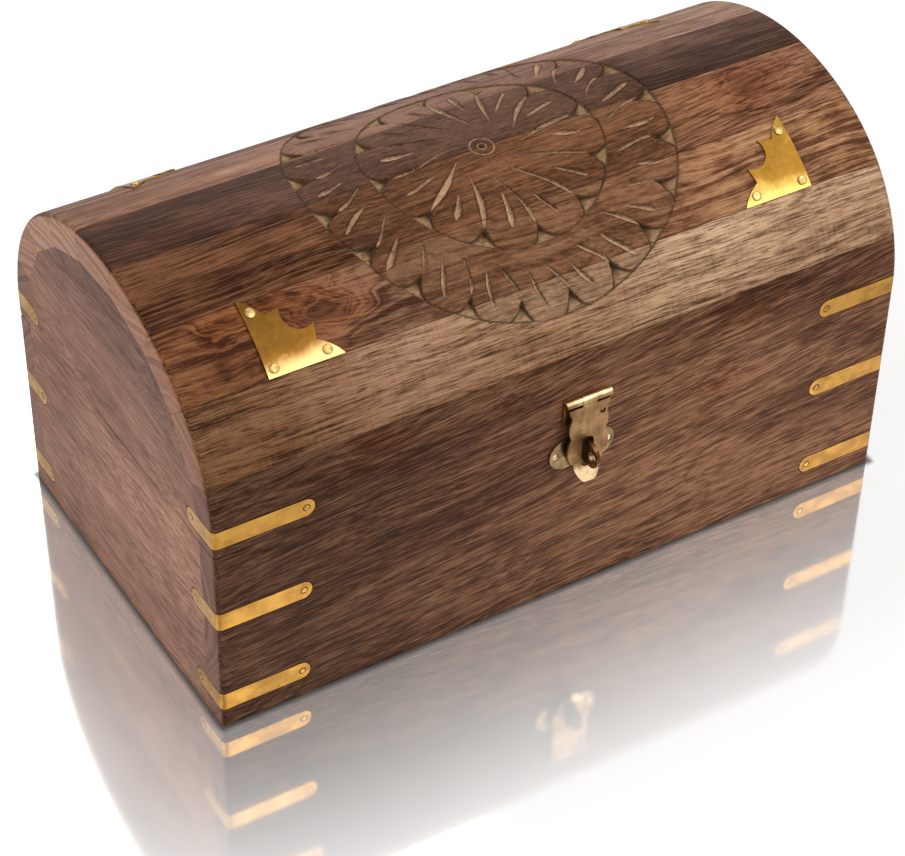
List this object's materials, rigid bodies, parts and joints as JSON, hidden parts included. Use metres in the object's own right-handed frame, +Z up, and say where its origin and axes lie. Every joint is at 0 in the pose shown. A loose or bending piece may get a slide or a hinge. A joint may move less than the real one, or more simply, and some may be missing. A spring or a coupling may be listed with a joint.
{
  "type": "jewelry box",
  "caption": "Domed wooden jewelry box with a hinged stave-built lid, inlaid brass corner straps, scalloped brass brackets and a hasp that closes over a padlock staple.",
  "frame": {"origin": "middle of the box's underside, where it rests", "axes": "+X along the length to the right seen from the front, +Y from the front to the back, +Z up"},
  "size_m": [0.2704, 0.1584, 0.148],
  "materials": {
    "wood_dark": "satin oiled",
    "wood_end": "satin oiled",
    "wood_pale": "satin oiled",
    "wood_red": "satin oiled",
    "wood_brown": "satin oiled",
    "wood_chocolate": "satin oiled",
    "wood_floor": "plain sanded",
    "strap_brass": "satin",
    "nail_brass": "satin",
    "hinge_brass": "satin",
    "hasp_brass": "antique satin"
  },
  "bodies": {
    "base": {"base_back_board": "wood_dark", "base_floor_panel": "wood_floor", "base_front_board": "wood_dark", "base_hinge_leaf_left": "hinge_brass", "base_hinge_leaf_right": "hinge_brass", "base_hinge_nails": "nail_brass", "base_left_end": "wood_end", "base_right_end": "wood_end", "base_strap_low_back_left": "strap_brass", "base_strap_low_back_right": "strap_brass", "base_strap_low_front_left": "strap_brass", "base_strap_low_front_right": "strap_brass", "base_strap_mid_back_left": "strap_brass", "base_strap_mid_back_right": "strap_brass", "base_strap_mid_front_left": "strap_brass", "base_strap_mid_front_right": "strap_brass", "base_strap_nails": "nail_brass", "hinge_pin_left": "hinge_brass", "hinge_pin_right": "hinge_brass", "staple_eye": "hasp_brass", "staple_nails": "nail_brass", "staple_plate": "hasp_brass"},
    "lid": {"hasp_fixed_leaf": "hasp_brass", "hasp_nails": "nail_brass", "hasp_pin": "hasp_brass", "lid_back_rail": "wood_dark", "lid_bracket_back_left": "strap_brass", "lid_bracket_back_right": "strap_brass", "lid_bracket_front_left": "strap_brass", "lid_bracket_front_right": "strap_brass", "lid_bracket_nails": "nail_brass", "lid_front_rail": "wood_dark", "lid_hinge_leaf_left": "hinge_brass", "lid_hinge_leaf_right": "hinge_brass", "lid_hinge_nails": "nail_brass", "lid_left_end": "wood_end", "lid_right_end": "wood_end", "lid_stave_1": "wood_pale", "lid_stave_2": "wood_red", "lid_stave_3": "wood_brown", "lid_stave_4": "wood_chocolate", "lid_stave_5": "wood_brown", "lid_stave_6": "wood_red", "lid_stave_7": "wood_pale", "lid_strap_back_left": "strap_brass", "lid_strap_back_right": "strap_brass", "lid_strap_front_left": "strap_brass", "lid_strap_front_right": "strap_brass", "lid_strap_nails": "nail_brass"},
    "hasp_leaf": {"hasp_swing_leaf": "hasp_brass"}
  },
  "joints": [
    {"name": "lid_hinge", "type": "hinge", "parent": "base", "child": "lid", "pos_m": [0, 0.0717, 0.0757], "axis": [-1, 0, 0], "range_deg": [0, 105]},
    {"name": "hasp_hinge", "type": "hinge", "parent": "lid", "child": "hasp_leaf", "pos_m": [0.004, -0.0759, 0.0855], "axis": [-1, 0, 0], "range_deg": [0, 175]}
  ]
}
